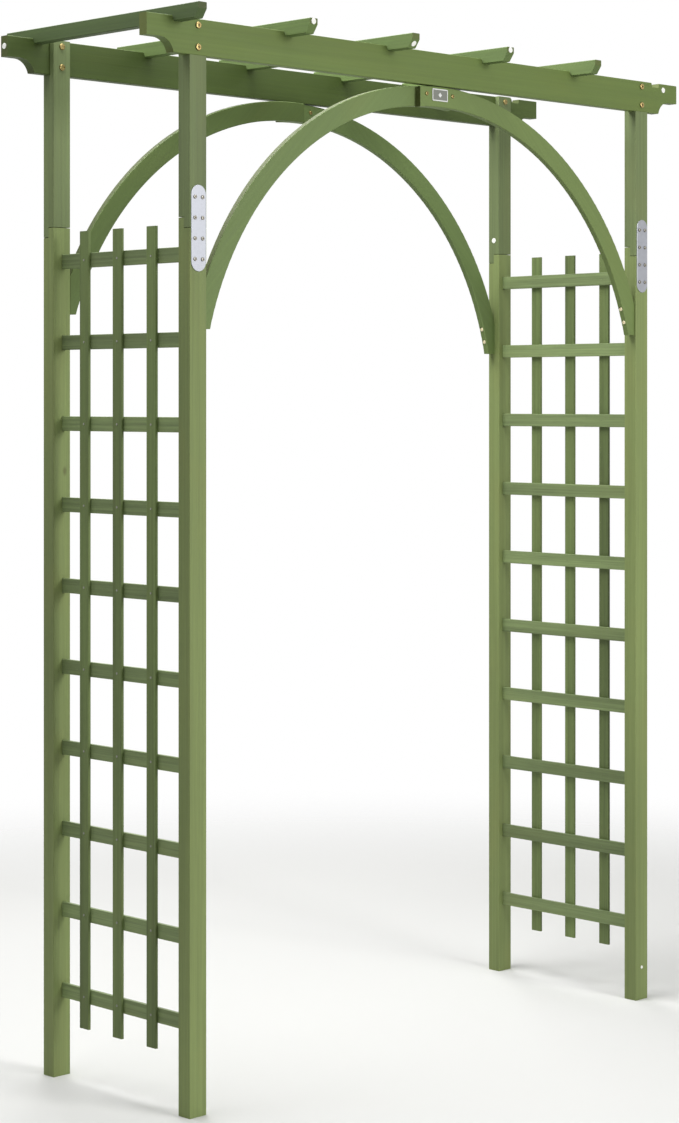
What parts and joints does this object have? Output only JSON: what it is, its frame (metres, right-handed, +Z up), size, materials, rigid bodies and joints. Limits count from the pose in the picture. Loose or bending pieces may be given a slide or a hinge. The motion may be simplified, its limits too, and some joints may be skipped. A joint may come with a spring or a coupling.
{
  "type": "trellis garden arch",
  "caption": "Wooden garden arch with trellis side panels, curved arches under notched top beams, cross rafters, and joint plates and screws.",
  "frame": {"origin": "on the ground, in the middle of the footprint", "axes": "+Z up, +X along the top beams, -Y out of the front face"},
  "size_m": [1.5708, 0.5768, 2.07],
  "materials": {
    "stained_wood": "green stained softwood, matt",
    "zinc_plate": "zinc plated sheet, satin",
    "brass": "yellow passivated screws, satin",
    "nail_steel": "dull steel",
    "badge": "plain stamped plate, satin",
    "cap_plastic": "white moulded plastic"
  },
  "bodies": {
    "root": {"arch_apex_screws": "brass", "arch_back_left": "stained_wood", "arch_back_right": "stained_wood", "arch_foot_screws": "brass", "arch_front_left": "stained_wood", "arch_front_right": "stained_wood", "badge_plate": "badge", "beam_bolts": "brass", "joint_plate_back_left": "zinc_plate", "joint_plate_back_right": "zinc_plate", "joint_plate_front_left": "zinc_plate", "joint_plate_front_right": "zinc_plate", "lower_post_back_left": "stained_wood", "lower_post_back_right": "stained_wood", "lower_post_front_left": "stained_wood", "lower_post_front_right": "stained_wood", "nails_left": "nail_steel", "nails_right": "nail_steel", "plate_screws": "brass", "rafter_1": "stained_wood", "rafter_2": "stained_wood", "rafter_3": "stained_wood", "rafter_4": "stained_wood", "rafter_5": "stained_wood", "rafter_screws": "brass", "screw_caps": "cap_plastic", "slat_left_01": "stained_wood", "slat_left_02": "stained_wood", "slat_left_03": "stained_wood", "slat_left_04": "stained_wood", "slat_left_05": "stained_wood", "slat_left_06": "stained_wood", "slat_left_07": "stained_wood", "slat_left_08": "stained_wood", "slat_left_09": "stained_wood", "slat_left_10": "stained_wood", "slat_right_01": "stained_wood", "slat_right_02": "stained_wood", "slat_right_03": "stained_wood", "slat_right_04": "stained_wood", "slat_right_05": "stained_wood", "slat_right_06": "stained_wood", "slat_right_07": "stained_wood", "slat_right_08": "stained_wood", "slat_right_09": "stained_wood", "slat_right_10": "stained_wood", "sleeve_nuts": "brass", "top_beam_back": "stained_wood", "top_beam_front": "stained_wood", "upper_post_back_left": "stained_wood", "upper_post_back_right": "stained_wood", "upper_post_front_left": "stained_wood", "upper_post_front_right": "stained_wood", "upright_left_1": "stained_wood", "upright_left_2": "stained_wood", "upright_left_3": "stained_wood", "upright_right_1": "stained_wood", "upright_right_2": "stained_wood", "upright_right_3": "stained_wood"}
  },
  "joints": []
}
